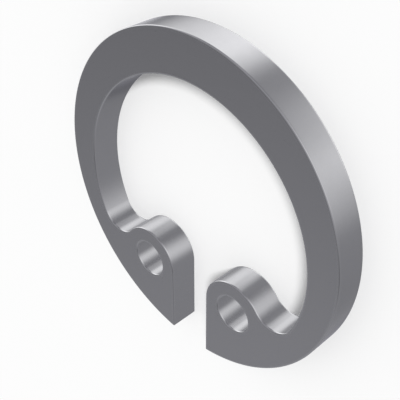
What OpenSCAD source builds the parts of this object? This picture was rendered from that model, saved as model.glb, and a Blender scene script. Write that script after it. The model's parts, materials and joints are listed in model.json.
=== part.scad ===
// Internal retaining ring for a groove in an 8 mm bore, stamped from spring steel strip.
// It lies flat, with its underside at z = 0. The origin is on the axis of its round outside.
// The gap between its two lugs faces -Y, and the holes in the lugs take the tips of the pliers.

/* [Ring] */
// Outside diameter of the free ring, before it is squeezed into its bore
outer_d = 8.7; // [8.4:0.1:9.4]
// Thickness of the strip that the ring is stamped from
thickness = 0.8; // [0.5:0.05:1.2]
// Width of the beam opposite the gap, where it is widest
beam_w = 1.1; // [0.8:0.05:1.3]
// How far the inner edge's centre lies towards the gap, which tapers the beam towards the lugs
taper = 0.3; // [0.1:0.05:0.4]

/* [Lugs] */
// Width of the gap between the lugs
gap_w = 1.2; // [0.8:0.1:1.6]
// Height of a lug, from the ring's outside to the crown of its rounded end
lug_height = 2.4; // [2.2:0.05:2.6]
// Diameter of a lug's rounded end
lug_d = 1.8; // [1.6:0.05:2]
// Diameter of the hole in a lug
hole_d = 1; // [0.8:0.05:1.2]
// Radius of the inside corner between a lug and the beam
corner_r = 0.6; // [0.4:0.05:0.8]

/* [Edges] */
// Width that tumbling takes off each edge, measured along each of its two faces
edge_break = 0.03; // [0.01:0.01:0.06]

/* [Hidden] */
$fn = 180;
steel = "#737377";

// How far a form runs on past the strip's faces: one that cuts, one that the cut leaves standing,
// and one that hollows out what is left standing
cut_reach = 0.2;
stand_reach = 2 * cut_reach;
hollow_reach = 3 * cut_reach;

// How deep neighbouring curves sink into each other where they blend, so that they cross
blend_overlap = 0.001;

outer_r = outer_d / 2;
inner_r = outer_r - beam_w + taper;
inner_centre = [0, -taper];

// The gap's side runs off a lug's rounded end, and the end's crown is lug_height in from the outside
lug_r = lug_d / 2;
lug_x = gap_w / 2 + lug_r - blend_overlap;
lug_reach = outer_r - lug_height + lug_r;
lug_centre = [lug_x, -sqrt(lug_reach ^ 2 - lug_x ^ 2)];

// The corner's arc blends with the beam's inner edge on one side and with the lug's end on the other
corner_centre = meeting_point(
    inner_centre, inner_r - corner_r + blend_overlap,
    lug_centre, lug_r + corner_r - blend_overlap
);

// The point at distance r1 from p1 and r2 from p2, on the left of the way from p1 to p2
function meeting_point(p1, r1, p2, r2) =
    let (
        way = p2 - p1,
        d = norm(way),
        along = (r1 ^ 2 - r2 ^ 2 + d ^ 2) / (2 * d),
        across = sqrt(r1 ^ 2 - along ^ 2),
        left = [-way.y, way.x]
    )
    p1 + (along * way + across * left) / d;

// Points up the side of a form, which is half_w out from its middle between the broken edges.
// The breaks lean outwards with a lean of 1, as in a cutter, and inwards with -1, as on a blank.
// They run on by extra past both faces of the strip.
function side_points(half_w, lean, extra) = [
    [half_w + lean * (edge_break + extra), -extra],
    [half_w, edge_break],
    [half_w, thickness - edge_break],
    [half_w + lean * (edge_break + extra), thickness + extra]
];

module round_form(r, lean, extra) {
    rotate_extrude()
        polygon(concat([[0, -extra]], side_points(r, lean, extra), [[0, thickness + extra]]));
}

// The metal between one lug's rounded end and the beam, with its hollow corner
module lug_root() {
    corner_way = (corner_centre - inner_centre) / norm(corner_centre - inner_centre);
    difference() {
        translate([0, 0, -stand_reach])
            linear_extrude(thickness + 2 * stand_reach)
                polygon([
                    [0, lug_centre.y],
                    lug_centre,
                    corner_centre,
                    inner_centre + corner_way * outer_d,
                    [0, -outer_d]
                ]);
        translate(corner_centre)
            round_form(corner_r, 1, hollow_reach);
    }
}

module lug() {
    translate(lug_centre)
        round_form(lug_r, -1, stand_reach);
    lug_root();
}

// What the punch takes out of the middle: the round inside, with the two lugs left standing
module opening() {
    difference() {
        translate(inner_centre)
            round_form(inner_r, 1, cut_reach);
        lug();
        mirror([1, 0, 0])
            lug();
    }
}

// The slot that parts the two lugs, open to the ring's outside
module gap() {
    right_side = side_points(gap_w / 2, 1, cut_reach);
    left_side = [for (i = [len(right_side) - 1 : -1 : 0]) [-right_side[i].x, right_side[i].y]];
    translate([0, lug_centre.y + lug_r, 0])
        rotate([90, 0, 0])
            linear_extrude(outer_r)
                polygon(concat(right_side, left_side));
}

module retaining_ring() {
    color(steel)
        difference() {
            round_form(outer_r, -1, 0);
            opening();
            gap();
            for (side = [-1, 1])
                translate([side * lug_centre.x, lug_centre.y, 0])
                    round_form(hole_d / 2, 1, cut_reach);
        }
}

retaining_ring();
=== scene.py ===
# %% [markdown]
# # A retaining ring, from its outline to its finish
# The object is a small flat ring of spring steel. It snaps into a groove inside an 8 mm bore, and
# pliers squeeze it by the two holes in its lugs. It is punched out of strip in one stroke and then
# tumbled, which takes the sharpness off its edges. The lesson makes a fine mesh of it, gives it
# its two finishes, and sets it on a pale floor in a small studio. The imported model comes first: it
# says where the ring lies and how large it is, and the fine mesh has to fit it.

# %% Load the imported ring
import json
import math

import bmesh
import bpy
from mathutils import Matrix, Vector
from mathutils.geometry import intersect_sphere_sphere_2d

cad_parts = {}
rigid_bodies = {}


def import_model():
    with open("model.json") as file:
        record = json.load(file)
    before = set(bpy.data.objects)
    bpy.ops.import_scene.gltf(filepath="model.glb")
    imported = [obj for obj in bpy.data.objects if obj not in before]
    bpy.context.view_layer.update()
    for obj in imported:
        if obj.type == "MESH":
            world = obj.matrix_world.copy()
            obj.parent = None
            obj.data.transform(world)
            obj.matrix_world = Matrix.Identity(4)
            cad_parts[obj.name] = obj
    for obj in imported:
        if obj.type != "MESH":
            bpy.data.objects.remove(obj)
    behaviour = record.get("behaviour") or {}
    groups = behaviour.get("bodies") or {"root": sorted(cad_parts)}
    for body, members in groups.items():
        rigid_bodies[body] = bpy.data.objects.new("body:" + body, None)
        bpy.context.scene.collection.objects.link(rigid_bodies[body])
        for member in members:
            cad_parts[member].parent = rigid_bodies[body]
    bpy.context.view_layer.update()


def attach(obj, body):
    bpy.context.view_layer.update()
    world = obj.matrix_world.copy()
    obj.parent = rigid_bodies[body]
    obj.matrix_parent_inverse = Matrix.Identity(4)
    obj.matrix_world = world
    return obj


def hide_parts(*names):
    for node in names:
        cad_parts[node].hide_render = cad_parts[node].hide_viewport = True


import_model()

millimetre = 0.001

# %% [markdown]
# ## The outline
# Seen from above, the ring's edge is a chain of arcs that run smoothly into one another: the round
# rim, the end of the rim at the gap, the lug's rounded end, the hollow corner behind it and the
# beam's inner edge. Only the side of the gap is straight. The inner edge's centre lies a little
# nearer to the gap than the rim's, so the beam is widest opposite the gap and bends evenly. These
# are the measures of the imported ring. The lug's end has to touch the gap's side, and the hollow
# corner has to touch both the beam and the lug's end, so their centres are worked out.
#
# Blender's modelling tools merge and bevel badly at a hundredth of a millimetre when one unit is a
# metre. So the ring is drawn with one unit to the millimetre and made a thousand times smaller at
# the end.

# %% Work out the centres of the arcs
rim_r = 4.35
beam_w = 1.1
taper = 0.3
gap_w = 1.2
lug_height = 2.4
lug_r = 0.9
hole_r = 0.5
corner_r = 0.6
thickness = 0.8
edge_r = 0.03
end_r = 0.032

rim_centre = Vector((0, 0))
inner_r = rim_r - beam_w + taper
inner_centre = Vector((0, -taper))
lug_x = gap_w / 2 + lug_r
lug_centre = Vector((lug_x, -math.sqrt((rim_r - lug_height + lug_r) ** 2 - lug_x**2)))
end_x = gap_w / 2 + end_r
end_centre = Vector((end_x, -math.sqrt((rim_r - end_r) ** 2 - end_x**2)))
meetings = intersect_sphere_sphere_2d(
    inner_centre, inner_r - corner_r, lug_centre, lug_r + corner_r
)
corner_centre = max(meetings, key=lambda place: place.x)
print("lug's centre", lug_centre[:], "hollow corner's centre", corner_centre[:])

# %% [markdown]
# The outline could be cut from circles with Booleans, but they leave scraps of edges where two
# arcs touch. Here one point is spun round each arc's centre in turn, and draws the right half of
# the outline as a pen would. Each arc gets as many steps as keep it within a third of a
# thousandth of a millimetre of the true curve, so that large and small arcs look equally round. A
# plane that is merged at its middle makes the starting point.

# %% Draw the right half of the outline
flatness = 0.0003
fewest_steps = 4


def heading(centre, point):
    """The direction from a centre to a point, in degrees."""
    return math.degrees(math.atan2(point.y - centre.y, point.x - centre.x))


def steps_for(radius, turn):
    """How many straight steps keep an arc of that many degrees close to its true curve."""
    widest = 2 * math.acos(1 - flatness / radius)
    return max(fewest_steps, math.ceil(math.radians(abs(turn)) / widest))


def draw_arc(centre, radius, turn):
    """Draws on from the selected point round the centre, anticlockwise if turn is above 0."""
    # With no window open, spin turns clockwise for an angle above 0
    bpy.ops.mesh.spin(
        steps=steps_for(radius, turn),
        angle=-math.radians(turn),
        center=(*centre, 0),
        axis=(0, 0, 1),
    )


bpy.ops.object.select_all(action="DESELECT")
bpy.ops.mesh.primitive_plane_add(size=1, location=(0, 0, 0))
ring = bpy.context.object
ring.name = "stamped_ring"
bpy.ops.object.mode_set(mode="EDIT")
bpy.ops.mesh.select_all(action="SELECT")
bpy.ops.mesh.merge(type="CENTER")
bpy.ops.transform.translate(value=(0, rim_r, edge_r))

end_heading = heading(rim_centre, end_centre)
lug_to_corner = heading(lug_centre, corner_centre)
beam_to_corner = heading(inner_centre, corner_centre)
draw_arc(rim_centre, rim_r, end_heading - 90)
draw_arc(end_centre, end_r, -180 - end_heading)
gap_side = lug_centre.y - end_centre.y
bpy.ops.mesh.extrude_region_move(TRANSFORM_OT_translate={"value": (0, gap_side, 0)})
draw_arc(lug_centre, lug_r, lug_to_corner - 180)
draw_arc(corner_centre, corner_r, 180 + beam_to_corner - lug_to_corner)
draw_arc(inner_centre, inner_r, 90 - beam_to_corner)
hole_steps = steps_for(hole_r, 360)
bpy.ops.mesh.primitive_circle_add(
    vertices=hole_steps, radius=hole_r, fill_type="NOTHING", location=(*lug_centre, edge_r)
)
bpy.ops.object.mode_set(mode="OBJECT")
print("points in the right half:", len(ring.data.vertices))

# %% [markdown]
# The punch is the same on both sides of the gap, so a Mirror modifier adds the left half and welds
# the two halves where they meet. Fill then closes the outline with flat faces and leaves the two
# holes open.

# %% Mirror the outline and fill it
weld_reach = 0.001
mirror = ring.modifiers.new("other_half", "MIRROR")
mirror.use_axis = (True, False, False)
mirror.merge_threshold = weld_reach
bpy.ops.object.modifier_apply(modifier=mirror.name)
bpy.ops.object.mode_set(mode="EDIT")
bpy.ops.mesh.select_all(action="SELECT")
bpy.ops.mesh.fill(use_beauty=True)
bpy.ops.object.mode_set(mode="OBJECT")
flat_area = sum(face.area for face in ring.data.polygons)
print("flat faces:", len(ring.data.polygons), "area, mm2:", round(flat_area, 3))

# %% [markdown]
# ## The thickness and the tumbled edges
# Extruding the flat shape gives the strip's thickness. It is done in three lifts, because the two
# narrow bands next to the edges hold the shading of the wall straight between them. Tumbling
# rubs every edge of the ring to a small round. The Bevel tool would pull that round out of true
# where the filled faces meet the outline in a fan, so each flat is inset instead, in steps that
# follow a quarter circle inwards and upwards. Two more insets on the flat give bands along the
# edge, where the wear fades out later.

# %% Extrude the walls
band = 0.02
fade = 0.07


def select_faces(wanted):
    """In edit mode, selects the faces that pass the test and no others."""
    bpy.ops.mesh.select_all(action="DESELECT")
    shape = bmesh.from_edit_mesh(bpy.context.object.data)
    shape.normal_update()
    for face in shape.faces:
        face.select_set(wanted(face))
    bmesh.update_edit_mesh(bpy.context.object.data)
    return sum(face.select for face in shape.faces)


wall_height = thickness - 2 * edge_r
bpy.ops.object.mode_set(mode="EDIT")
bpy.ops.mesh.select_mode(type="FACE")
bpy.ops.mesh.select_all(action="SELECT")
for lift in (band, wall_height - 2 * band, band):
    bpy.ops.mesh.extrude_region_move(TRANSFORM_OT_translate={"value": (0, 0, lift)})
bpy.ops.mesh.select_all(action="SELECT")
bpy.ops.mesh.normals_make_consistent(inside=False)
bpy.ops.object.mode_set(mode="OBJECT")
print("walls up to, mm:", round(max(v.co.z for v in ring.data.vertices), 3))

# %% Round the edges of both flats
round_steps = 4
merge_reach = 0.01
level_reach = 0.0001
# A face belongs to a flat where its normal's upright part is larger than this
flat_from = 0.99


def round_the_border():
    """Rounds the border of the selected flat, then lays the two bands inside it."""
    inwards = upwards = 0.0
    for step in range(1, round_steps + 1):
        turn = math.radians(90 * step / round_steps)
        next_inwards = edge_r * (1 - math.cos(turn))
        next_upwards = edge_r * math.sin(turn)
        bpy.ops.mesh.inset(thickness=next_inwards - inwards, depth=next_upwards - upwards)
        inwards, upwards = next_inwards, next_upwards
    # The arc at the end of the rim has shrunk to a point
    bpy.ops.mesh.remove_doubles(threshold=merge_reach)
    bpy.ops.mesh.inset(thickness=band)
    bpy.ops.mesh.inset(thickness=fade)


bpy.ops.object.mode_set(mode="EDIT")
for side, level in ((1, thickness - edge_r), (-1, edge_r)):
    flat = select_faces(
        lambda face: face.normal.z * side > flat_from
        and abs(face.calc_center_median().z - level) < level_reach
    )
    round_the_border()
    print("top" if side > 0 else "underside", "faces inside its border:", flat)
bpy.ops.mesh.select_all(action="SELECT")
bpy.ops.mesh.normals_make_consistent(inside=False)
bpy.ops.object.mode_set(mode="OBJECT")

# %% [markdown]
# The rounded edges need smooth shading, and the flats and walls must stay flat up to them. Smooth
# shading averages the directions of neighbouring faces. A Weighted Normal modifier lets the large
# faces rule that average, so only the small faces of the rounds show a turn of light. Then the
# ring is brought to its true size. A solid has no open edges, and its volume should come close
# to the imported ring's 19.66 cubic millimetres.

# %% Shade the ring and bring it to its true size
bpy.ops.object.shade_smooth()
weigh = ring.modifiers.new("large_faces_rule", "WEIGHTED_NORMAL")
weigh.mode = "FACE_AREA"
bpy.ops.object.modifier_apply(modifier=weigh.name)
bpy.ops.transform.resize(value=(millimetre, millimetre, millimetre))
bpy.ops.object.transform_apply(location=True, rotation=True, scale=True)

loose = bmesh.new()
loose.from_mesh(ring.data)
open_edges = sum(not edge.is_manifold for edge in loose.edges)
volume_mm3 = loose.calc_volume(signed=True) / millimetre**3
loose.free()
triangles = sum(len(face.vertices) - 2 for face in ring.data.polygons)
print("triangles:", triangles, "open edges:", open_edges)
print("volume, mm3:", round(volume_mm3, 3))

# %% [markdown]
# ## Where the edges are worn
# Wear follows the edge and not a place in space, so it is kept on the mesh as an attribute: 1 on
# the rounds, less on the bands beside them and 0 elsewhere. The two finishes read it by its name.

# %% Mark the edges for wear
wall_up_to = 0.05
beside_share = 0.35
edge_share = ring.data.attributes.new("edge_share", "FLOAT", "POINT")
ring.data.attributes.active = edge_share


def is_round(face):
    """Tells the small faces of the rounded edges from the flats and the walls."""
    lean = abs(face.normal.z)
    return wall_up_to < lean < flat_from


bpy.ops.object.mode_set(mode="EDIT")
bpy.ops.mesh.select_mode(type="FACE")
bpy.ops.mesh.select_all(action="SELECT")
bpy.ops.mesh.attribute_set(value_float=0.0)
rounds = select_faces(is_round)
bpy.ops.mesh.select_more()
bpy.ops.mesh.attribute_set(value_float=beside_share)
select_faces(is_round)
bpy.ops.mesh.attribute_set(value_float=1.0)
print("faces on rounded edges:", rounds)
bpy.ops.object.mode_set(mode="OBJECT")

# %% [markdown]
# ## Effects that both finishes share
# The ring has two finishes. Its flats come from the rolling mill and its walls from the punch, and
# the tumbler has then satined both. Grain and wear look alike on the two, apart from their size,
# direction and strength. Each is a node group with named inputs, made once and placed in each
# finish with its own values. A group only puts out tones and heights, and the shader stays in the
# material.

# %% Helpers for node trees
def new_node(tree, kind, inputs=(), **properties):
    """Adds a node, sets its properties, then its inputs, given as (name or place, value)."""
    node = tree.nodes.new(kind)
    for name, value in properties.items():
        setattr(node, name, value)
    for socket, value in inputs:
        node.inputs[socket].default_value = value
    return node


def start_group(name, inputs, outputs):
    """Makes an empty node group from inputs of (name, kind, start) and names of outputs."""
    group = bpy.data.node_groups.new(name, "ShaderNodeTree")
    for socket_name, kind, start in inputs:
        socket = group.interface.new_socket(socket_name, in_out="INPUT", socket_type=kind)
        if start is not None:
            socket.default_value = start
    for socket_name in outputs:
        group.interface.new_socket(socket_name, in_out="OUTPUT", socket_type="NodeSocketFloat")
    return group, group.nodes.new("NodeGroupInput"), group.nodes.new("NodeGroupOutput")


def join(tree, source, target):
    """Links an output socket to an input socket."""
    tree.links.new(source, target)


# %% [markdown]
# ### Grain
# Rolling leaves fine lines along the strip, and the punch draws fine lines down the wall. Both are
# one noise that is stretched along the lines: Stretch says how many times longer a mark is than it
# is wide, along each axis. A second noise without any stretch stands for the dimples that the
# tumbling stones leave. A photograph of brushed metal would give lines too, but a noise has no
# seams, and it follows the ring's own coordinates at any zoom.

# %% Make the steel grain group
FLOAT, VECTOR = "NodeSocketFloat", "NodeSocketVector"
grain, grain_in, grain_out = start_group(
    "steel_grain",
    [
        ("Place", VECTOR, None),
        ("Line width", FLOAT, 0.00003),
        ("Stretch", VECTOR, (1, 1, 1)),
        ("Dimple width", FLOAT, 0.00006),
    ],
    ["Lines", "Dimples"],
)
stretched = new_node(grain, "ShaderNodeVectorMath", operation="DIVIDE")
line_count = new_node(grain, "ShaderNodeMath", [(0, 1.0)], operation="DIVIDE")
line_noise = new_node(grain, "ShaderNodeTexNoise", [("Detail", 3.0), ("Roughness", 0.6)])
join(grain, grain_in.outputs["Place"], stretched.inputs[0])
join(grain, grain_in.outputs["Stretch"], stretched.inputs[1])
join(grain, grain_in.outputs["Line width"], line_count.inputs[1])
join(grain, stretched.outputs["Vector"], line_noise.inputs["Vector"])
join(grain, line_count.outputs["Value"], line_noise.inputs["Scale"])
join(grain, line_noise.outputs["Fac"], grain_out.inputs["Lines"])

dimple_count = new_node(grain, "ShaderNodeMath", [(0, 1.0)], operation="DIVIDE")
dimple_noise = new_node(grain, "ShaderNodeTexNoise", [("Detail", 2.0)])
join(grain, grain_in.outputs["Dimple width"], dimple_count.inputs[1])
join(grain, grain_in.outputs["Place"], dimple_noise.inputs["Vector"])
join(grain, dimple_count.outputs["Value"], dimple_noise.inputs["Scale"])
join(grain, dimple_noise.outputs["Fac"], grain_out.inputs["Dimples"])
print("steel_grain nodes:", len(grain.nodes))

# %% [markdown]
# ### Edge wear
# The tumbling stones rub the edges brightest, and they do so unevenly. The group takes the ring's
# own edge share, shifts it up and down with a soft noise, and puts out a mask that rises smoothly
# from bare to worn.

# %% Make the edge wear group
wear, wear_in, wear_out = start_group(
    "edge_wear",
    [
        ("Place", VECTOR, None),
        ("Edge share", FLOAT, 0.0),
        ("Patch width", FLOAT, 0.0002),
        ("Unevenness", FLOAT, 0.4),
    ],
    ["Worn"],
)
wear_starts, wear_ends = 0.15, 0.95
patch_count = new_node(wear, "ShaderNodeMath", [(0, 1.0)], operation="DIVIDE")
patches = new_node(wear, "ShaderNodeTexNoise", [("Detail", 3.0), ("Roughness", 0.6)])
centred = new_node(wear, "ShaderNodeMath", [(1, 0.5)], operation="SUBTRACT")
shifted = new_node(wear, "ShaderNodeMath", operation="MULTIPLY_ADD")
worn_mask = new_node(
    wear,
    "ShaderNodeMapRange",
    [("From Min", wear_starts), ("From Max", wear_ends)],
    interpolation_type="SMOOTHSTEP",
)
join(wear, wear_in.outputs["Patch width"], patch_count.inputs[1])
join(wear, wear_in.outputs["Place"], patches.inputs["Vector"])
join(wear, patch_count.outputs["Value"], patches.inputs["Scale"])
join(wear, patches.outputs["Fac"], centred.inputs[0])
join(wear, centred.outputs["Value"], shifted.inputs[0])
join(wear, wear_in.outputs["Unevenness"], shifted.inputs[1])
join(wear, wear_in.outputs["Edge share"], shifted.inputs[2])
join(wear, shifted.outputs["Value"], worn_mask.inputs["Value"])
join(wear, worn_mask.outputs["Result"], wear_out.inputs["Worn"])
print("edge_wear nodes:", len(wear.nodes))

# %% [markdown]
# ## The two finishes
# Both finishes are bare spring steel, a neutral mid grey. A metal has no colour of its own under
# its shine: Base Color is the share of the room that it mirrors back. Its Specular Tint is the
# share that it gives back near grazing angles. The photograph's metal hardly brightens there, and
# a tint of 0.6 keeps it even. The grain shifts the tone by three per cent either way, moves the
# roughness a little and lifts the surface by a tenth of a thousandth of a millimetre, which is
# enough for a satin sheen and too little to show as speckles. Worn edges are a shade lighter and
# smoother. One helper holds this recipe, and each finish gives it the direction and the strength
# of its own marks.

# %% A helper for a steel finish
dark_grey = (0.182, 0.182, 0.185, 1)
light_grey = (0.194, 0.194, 0.197, 1)
worn_grey = (0.205, 0.205, 0.208, 1)
edge_tint = (0.6, 0.6, 0.6, 1)
roughness_swing = 0.03
dimple_share = 0.4
least_mark, most_mark = 0.3, 0.7


def steel_finish(name, stretch, roughness, bump_depth):
    """Makes a steel material whose lines follow the stretch, with grain and edge wear."""
    material = bpy.data.materials.new(name)
    material.use_nodes = True
    tree = material.node_tree
    shader = tree.nodes["Principled BSDF"]
    shader.inputs["Metallic"].default_value = 1.0
    shader.inputs["Specular Tint"].default_value = edge_tint

    place = new_node(tree, "ShaderNodeTexCoord").outputs["Object"]
    grain_node = new_node(tree, "ShaderNodeGroup", node_tree=grain)
    grain_node.inputs["Stretch"].default_value = stretch
    join(tree, place, grain_node.inputs["Place"])
    marks = new_node(
        tree, "ShaderNodeMix", [("Factor", dimple_share)], data_type="FLOAT", label="marks"
    )
    join(tree, grain_node.outputs["Lines"], marks.inputs["A"])
    join(tree, grain_node.outputs["Dimples"], marks.inputs["B"])

    share = new_node(tree, "ShaderNodeAttribute", attribute_name="edge_share")
    wear_node = new_node(tree, "ShaderNodeGroup", node_tree=wear)
    join(tree, place, wear_node.inputs["Place"])
    join(tree, share.outputs["Fac"], wear_node.inputs["Edge share"])

    tone = new_node(tree, "ShaderNodeMix", data_type="RGBA", label="tone")
    colour = new_node(tree, "ShaderNodeMix", data_type="RGBA", label="worn tone")
    tone.inputs["A"].default_value = dark_grey
    tone.inputs["B"].default_value = light_grey
    colour.inputs["B"].default_value = worn_grey
    join(tree, marks.outputs["Result"], tone.inputs["Factor"])
    join(tree, tone.outputs["Result"], colour.inputs["A"])
    join(tree, wear_node.outputs["Worn"], colour.inputs["Factor"])
    join(tree, colour.outputs["Result"], shader.inputs["Base Color"])

    satin = new_node(
        tree,
        "ShaderNodeMapRange",
        [
            ("From Min", least_mark),
            ("From Max", most_mark),
            ("To Min", roughness - roughness_swing),
            ("To Max", roughness + roughness_swing),
        ],
    )
    rubbed_roughness = roughness - 2 * roughness_swing
    rubbed = new_node(tree, "ShaderNodeMix", [("B", rubbed_roughness)], data_type="FLOAT")
    join(tree, marks.outputs["Result"], satin.inputs["Value"])
    join(tree, satin.outputs["Result"], rubbed.inputs["A"])
    join(tree, wear_node.outputs["Worn"], rubbed.inputs["Factor"])
    join(tree, rubbed.outputs["Result"], shader.inputs["Roughness"])

    bump = new_node(tree, "ShaderNodeBump", [("Strength", 1.0), ("Distance", bump_depth)])
    join(tree, marks.outputs["Result"], bump.inputs["Height"])
    join(tree, bump.outputs["Normal"], shader.inputs["Normal"])
    print(name, "has", len(tree.nodes), "nodes")
    return material


# %% [markdown]
# ### The rolled flats and the punched walls
# The flats are strip as it came from the mill, with lines along X, and tumbling has dulled them
# most, because the ring lies on them. The walls were sheared and burnished by the punch, so their
# lines run up through the thickness, and they mirror the room more sharply than the flats do.

# %% Make both finishes
rolled_flat = steel_finish("rolled_flat", (20, 1, 1), roughness=0.30, bump_depth=1.5e-7)
punched_wall = steel_finish("punched_wall", (1, 1, 20), roughness=0.22, bump_depth=1.0e-7)

# %% [markdown]
# A face's normal tells which finish it has. The flats point straight up or down, and every other
# face belongs to a wall or to a rounded edge.

# %% Put each finish on its faces
ring.data.materials.append(rolled_flat)
ring.data.materials.append(punched_wall)
bpy.ops.object.mode_set(mode="EDIT")
bpy.ops.mesh.select_mode(type="FACE")
walls = select_faces(lambda face: abs(face.normal.z) < flat_from)
ring.active_material_index = 1
bpy.ops.object.material_slot_assign()
bpy.ops.object.mode_set(mode="OBJECT")
print("wall and edge faces:", walls, "of", len(ring.data.polygons))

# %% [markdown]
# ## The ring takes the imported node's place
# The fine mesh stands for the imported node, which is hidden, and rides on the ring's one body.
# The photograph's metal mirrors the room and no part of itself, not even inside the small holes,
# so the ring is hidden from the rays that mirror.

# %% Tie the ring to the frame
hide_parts("retaining_ring")
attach(ring, "root")
ring.visible_glossy = False
print(ring.name, "stands for retaining_ring")

# %% [markdown]
# ## The floor
# The photograph shows the ring standing on its edge, but nothing holds it there, so it lies flat
# here and the camera looks down on it. The floor is matt white paper, large enough to fill the
# picture from any side. The metal doesn't mirror the paper: lying down, its walls would see
# nothing else, while the photograph's walls see a studio all round. The room below stands in for
# it, at the paper's own brightness.

# %% Lay the floor
floor_width = 1.3
paper_tone = 0.9
paper_roughness = 0.9
bpy.ops.object.select_all(action="DESELECT")
bpy.ops.mesh.primitive_plane_add(size=floor_width, location=(0, 0, 0))
floor = bpy.context.object
floor.name = "studio_floor"
floor.visible_glossy = False
paper = bpy.data.materials.new("matt_white_paper")
paper.use_nodes = True
paper_shader = paper.node_tree.nodes["Principled BSDF"]
paper_shader.inputs["Base Color"].default_value = (paper_tone, paper_tone, paper_tone, 1)
paper_shader.inputs["Roughness"].default_value = paper_roughness
paper_shader.inputs["Specular IOR Level"].default_value = 0.0
floor.data.materials.append(paper)
print("floor, m across:", floor_width)

# %% [markdown]
# ## The window light
# One soft light gives the ring its shadow. It shines from about where the camera is, so that most
# of the shadow hides behind the ring and the paper inside it stays white, as in the photograph.
# Its strength is worked out: the paper gets a little over half of its light evenly from the room,
# and the lamp brings it up to just under white, where it doesn't clip.

# %% Hang the window light
paper_level = 0.98
room_share = 0.55
light_azimuth = 45
light_height = 39
light_width = 12
missing = paper_level / paper_tone - room_share
window = bpy.data.lights.new("window_light", "SUN")
window.energy = math.pi * missing / math.sin(math.radians(light_height))
window.angle = math.radians(light_width)
window_lamp = bpy.data.objects.new("window_light", window)
bpy.context.scene.collection.objects.link(window_lamp)
window_lamp.visible_glossy = False
turn_round = Matrix.Rotation(math.radians(light_azimuth), 4, "Z")
tip_over = Matrix.Rotation(math.radians(90 - light_height), 4, "Y")
window_lamp.matrix_world = turn_round @ tip_over @ Matrix.Translation((0, 0, 1))
print("window light, W/m2:", round(window.energy, 3))

# %% [markdown]
# ## The room that the metal mirrors
# Bare metal shows hardly anything but its surroundings, so the bright and dark bands on the walls
# are pictures of a studio. Lamps close to so small a ring would also light the floor, and moving
# one band would move all the others. Instead the world itself is painted: its colour depends on
# the direction that a mirrored ray leaves in, and only such rays see it.
#
# The panels of the studio share one group. A panel is an upright strip of light round an azimuth,
# in degrees from +X, with a half width and a soft border. Lean slants it: its middle moves that
# many degrees sideways for each degree of height. It ends softly above its top. A level below
# zero makes it a black card, which takes light away.

# %% Make the studio panel group
slant_low, slant_high = -60.0, -10.0
upright_height = -37.0
top_fade = 20.0
panel, panel_in, panel_out = start_group(
    "studio_panel",
    [
        ("Direction", VECTOR, None),
        ("Azimuth", FLOAT, 0.0),
        ("Half width", FLOAT, 20.0),
        ("Softness", FLOAT, 10.0),
        ("Lean", FLOAT, 0.0),
        ("Top", FLOAT, 0.0),
        ("Level", FLOAT, 1.0),
    ],
    ["Light"],
)
axes = new_node(panel, "ShaderNodeSeparateXYZ")
heading_angle = new_node(panel, "ShaderNodeMath", operation="ARCTAN2")
heading_degrees = new_node(panel, "ShaderNodeMath", operation="DEGREES")
height_angle = new_node(panel, "ShaderNodeMath", operation="ARCSINE")
height_degrees = new_node(panel, "ShaderNodeMath", operation="DEGREES")
join(panel, panel_in.outputs["Direction"], axes.inputs["Vector"])
join(panel, axes.outputs["Y"], heading_angle.inputs[0])
join(panel, axes.outputs["X"], heading_angle.inputs[1])
join(panel, heading_angle.outputs["Value"], heading_degrees.inputs[0])
join(panel, axes.outputs["Z"], height_angle.inputs[0])
join(panel, height_angle.outputs["Value"], height_degrees.inputs[0])
print("nodes that read the direction:", len(panel.nodes))

# %% [markdown]
# The panel's middle line is worked out for the ray's height. It passes through the azimuth at the
# upright height, and it slants only between the low and the high end of the slant. The ray's
# distance from it is wrapped to between -180 and 180 degrees, so that a panel may cross the line
# where the azimuth jumps from one to the other.

# %% Measure how far a ray is from the panel's middle
slant_span = new_node(panel, "ShaderNodeClamp", [("Min", slant_low), ("Max", slant_high)])
from_upright = new_node(panel, "ShaderNodeMath", [(1, upright_height)], operation="SUBTRACT")
middle = new_node(panel, "ShaderNodeMath", operation="MULTIPLY_ADD")
off_middle = new_node(panel, "ShaderNodeMath", operation="SUBTRACT")
wrapped = new_node(panel, "ShaderNodeMath", [(1, 180.0), (2, -180.0)], operation="WRAP")
aside = new_node(panel, "ShaderNodeMath", operation="ABSOLUTE")
join(panel, height_degrees.outputs["Value"], slant_span.inputs["Value"])
join(panel, slant_span.outputs["Result"], from_upright.inputs[0])
join(panel, from_upright.outputs["Value"], middle.inputs[0])
join(panel, panel_in.outputs["Lean"], middle.inputs[1])
join(panel, panel_in.outputs["Azimuth"], middle.inputs[2])
join(panel, heading_degrees.outputs["Value"], off_middle.inputs[0])
join(panel, middle.outputs["Value"], off_middle.inputs[1])
join(panel, off_middle.outputs["Value"], wrapped.inputs[0])
join(panel, wrapped.outputs["Value"], aside.inputs[0])
print("with the distance from the middle:", len(panel.nodes))

# %% Fade the panel out at its sides and its top
fade_out = [("To Min", 1.0), ("To Max", 0.0)]
side_end = new_node(panel, "ShaderNodeMath", operation="ADD")
sideways = new_node(panel, "ShaderNodeMapRange", fade_out, interpolation_type="SMOOTHSTEP")
top_end = new_node(panel, "ShaderNodeMath", [(1, top_fade)], operation="ADD")
upwards = new_node(panel, "ShaderNodeMapRange", fade_out, interpolation_type="SMOOTHSTEP")
form = new_node(panel, "ShaderNodeMath", operation="MULTIPLY")
light = new_node(panel, "ShaderNodeMath", operation="MULTIPLY")
join(panel, panel_in.outputs["Half width"], side_end.inputs[0])
join(panel, panel_in.outputs["Softness"], side_end.inputs[1])
join(panel, aside.outputs["Value"], sideways.inputs["Value"])
join(panel, panel_in.outputs["Half width"], sideways.inputs["From Min"])
join(panel, side_end.outputs["Value"], sideways.inputs["From Max"])
join(panel, panel_in.outputs["Top"], top_end.inputs[0])
join(panel, height_degrees.outputs["Value"], upwards.inputs["Value"])
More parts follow.
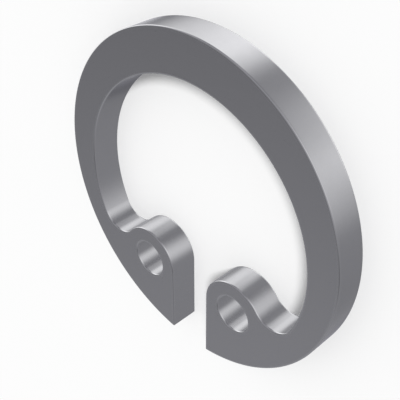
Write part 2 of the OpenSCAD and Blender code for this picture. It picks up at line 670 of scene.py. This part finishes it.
join(panel, panel_in.outputs["Top"], upwards.inputs["From Min"])
join(panel, top_end.outputs["Value"], upwards.inputs["From Max"])
join(panel, sideways.outputs["Result"], form.inputs[0])
join(panel, upwards.outputs["Result"], form.inputs[1])
join(panel, form.outputs["Value"], light.inputs[0])
join(panel, panel_in.outputs["Level"], light.inputs[1])
join(panel, light.outputs["Value"], panel_out.inputs["Light"])
print("studio_panel nodes:", len(panel.nodes))

# %% [markdown]
# The upper half of the room shades the ring's flat. It is darkest in a belt that arches over the
# front of the room, where the ring has its gap, and it grows lighter on both sides of that belt.
# A dot product with the room's bright direction says how far a ray is from the belt. Below the
# horizon the room is plain, at nearly the paper's brightness, and the two halves blend softly.

# %% Paint the plain room
world = bpy.data.worlds.new("studio_room")
bpy.context.scene.world = world
world.use_nodes = True
room = world.node_tree
room.nodes.clear()
look = new_node(room, "ShaderNodeTexCoord").outputs["Generated"]
bright_way = (-0.236, -0.949, -0.209)
belt = 0.28
belt_level, bright_level, bright_reach = 0.538, 1.238, 0.5
lower_level = 0.99
blend_from, blend_to = -0.17, 0.26

along = new_node(room, "ShaderNodeVectorMath", [(1, bright_way)], operation="DOT_PRODUCT")
off_belt = new_node(room, "ShaderNodeMath", [(1, belt)], operation="SUBTRACT")
beside_belt = new_node(room, "ShaderNodeMath", operation="ABSOLUTE")
upper = new_node(
    room,
    "ShaderNodeMapRange",
    [("From Max", bright_reach), ("To Min", belt_level), ("To Max", bright_level)],
)
join(room, look, along.inputs[0])
join(room, along.outputs["Value"], off_belt.inputs[0])
join(room, off_belt.outputs["Value"], beside_belt.inputs[0])
join(room, beside_belt.outputs["Value"], upper.inputs["Value"])

look_axes = new_node(room, "ShaderNodeSeparateXYZ")
horizon = new_node(
    room,
    "ShaderNodeMapRange",
    [("From Min", blend_from), ("From Max", blend_to)],
    interpolation_type="SMOOTHSTEP",
)
plain_room = new_node(
    room, "ShaderNodeMix", [("A", lower_level)], data_type="FLOAT", label="plain room"
)
join(room, look, look_axes.inputs["Vector"])
join(room, look_axes.outputs["Z"], horizon.inputs["Value"])
join(room, horizon.outputs["Result"], plain_room.inputs["Factor"])
join(room, upper.outputs["Result"], plain_room.inputs["B"])
print("plain room nodes:", len(room.nodes))

# %% [markdown]
# The photograph's bands tell where the lights stood. Turning a wall by one degree turns what it
# mirrors by two, so each band on the round rim gives the azimuth of one light, and its borders
# give the softness. The sides of the room are named as on a plan of the ring, with the gap in
# front. The right light makes the broad soft band on the rim. The back light and its strip make
# the brightest one, and the strip gives it its sharp side. The left light brightens the far
# sides of the lugs and the holes. The left card ends the bright band on the rim, and the front
# card keeps the walls dark that the camera sees at a grazing angle. The camera looks down on the
# rim more steeply than on the lugs, so the rim mirrors what lies lower: the low light widens the
# band there, and the low card above it narrows the same band on the right lug.

# %% Set up the panels
settings = ("Azimuth", "Half width", "Softness", "Lean", "Top", "Level")
panels = None
for label, *values in (
    ("right light", 26.5, 0.5, 48, 0.49, 1, 2.15),
    ("back light", 145, 7, 41.5, 0.83, 5, 3.4),
    ("back strip", 109, 5.5, 12.5, -0.44, -4, 0.93),
    ("left light", -155, 12.5, 12, -2.24, -4.5, 1.0),
    ("left card", 176, 34.5, 32.5, -2.92, -4, -0.9),
    ("front card", -117, 17, 8, -1.94, 2.5, -0.44),
    ("low light", 46, 14.5, 35, 0.35, -56.5, 2.1),
    ("low card", 38.5, 6.5, 34.5, 1.17, -40, -1.19),
):
    stand = new_node(room, "ShaderNodeGroup", zip(settings, values), node_tree=panel, label=label)
    join(room, look, stand.inputs["Direction"])
    sum_up = new_node(
        room, "ShaderNodeMath", [(1, 0.0)], operation="ADD", label="with the " + label
    )
    join(room, stand.outputs["Light"], sum_up.inputs[0])
    if panels:
        join(room, panels, sum_up.inputs[1])
    panels = sum_up.outputs["Value"]
print("panels:", sum(node.type == "GROUP" for node in room.nodes))

# %% [markdown]
# ## What each kind of ray sees
# The Light Path node tells the rays apart. Rays that mirror see the room and its panels. Rays that
# light the paper see an even room, so the panels cast no light on it. Rays from the camera that
# miss the paper see its own level, so no horizon shows from the side. The room is a touch cool and
# the panels are white, so the steel looks faintly blue where it is dark and neutral where it is
# bright. Where two black cards overlap, the room would turn black and draw a hard streak on the
# rim, so no direction is left darker than a dim grey. Cycles would sample this world as if it
# looked the same to every ray, so that sampling is turned off.

# %% Join the room to the rays
world.cycles.sampling_method = "NONE"
room_tint = (1.0, 1.0, 1.065)
darkest = (0.42, 0.42, 0.45)
mirrored = new_node(
    room, "ShaderNodeVectorMath", [(0, room_tint)], operation="MULTIPLY_ADD", label="studio"
)
lifted = new_node(
    room, "ShaderNodeVectorMath", [(1, darkest)], operation="MAXIMUM", label="no black corner"
)
path = new_node(room, "ShaderNodeLightPath")
lit = new_node(room, "ShaderNodeMix", data_type="RGBA", label="even light or studio")
seen = new_node(room, "ShaderNodeMix", data_type="RGBA", label="or the camera's white")
lit.inputs["A"].default_value = (room_share, room_share, room_share, 1)
seen.inputs["B"].default_value = (paper_level, paper_level, paper_level, 1)
background = new_node(room, "ShaderNodeBackground")
room_out = new_node(room, "ShaderNodeOutputWorld")
join(room, plain_room.outputs["Result"], mirrored.inputs[1])
join(room, panels, mirrored.inputs[2])
join(room, mirrored.outputs["Vector"], lifted.inputs[0])
join(room, path.outputs["Is Glossy Ray"], lit.inputs["Factor"])
join(room, lifted.outputs["Vector"], lit.inputs["B"])
join(room, path.outputs["Is Camera Ray"], seen.inputs["Factor"])
join(room, lit.outputs["Result"], seen.inputs["A"])
join(room, seen.outputs["Result"], background.inputs["Color"])
join(room, background.outputs["Background"], room_out.inputs["Surface"])
print("studio_room nodes:", len(room.nodes))

# %% [markdown]
# ## The camera
# The photograph looks at the ring's flat along the diagonal of a cube, from 18 mm away and with a
# view 30 degrees wide. Its directions come from that diagonal, and its place is written down.

# %% Place the camera
view_angle = 30
sensor = 36
camera_place = (0.0102802, 0.0102995, 0.0106801)
camera_data = bpy.data.cameras.new("camera")
camera_data.sensor_width = sensor
camera_data.lens = sensor / 2 / math.tan(math.radians(view_angle / 2))
camera_data.clip_start = 0.001
camera_data.clip_end = 2
camera = bpy.data.objects.new("camera", camera_data)
bpy.context.scene.collection.objects.link(camera)
back = Vector((1, 1, 1)).normalized()
right = Vector((1, 0, -1)).normalized()
up = back.cross(right)
turn = Matrix((right, up, back)).transposed().to_4x4()
camera.matrix_world = Matrix.Translation(camera_place) @ turn
bpy.context.scene.camera = camera
bpy.context.scene.view_settings.view_transform = "Standard"
print("lens, mm:", round(camera_data.lens, 2))
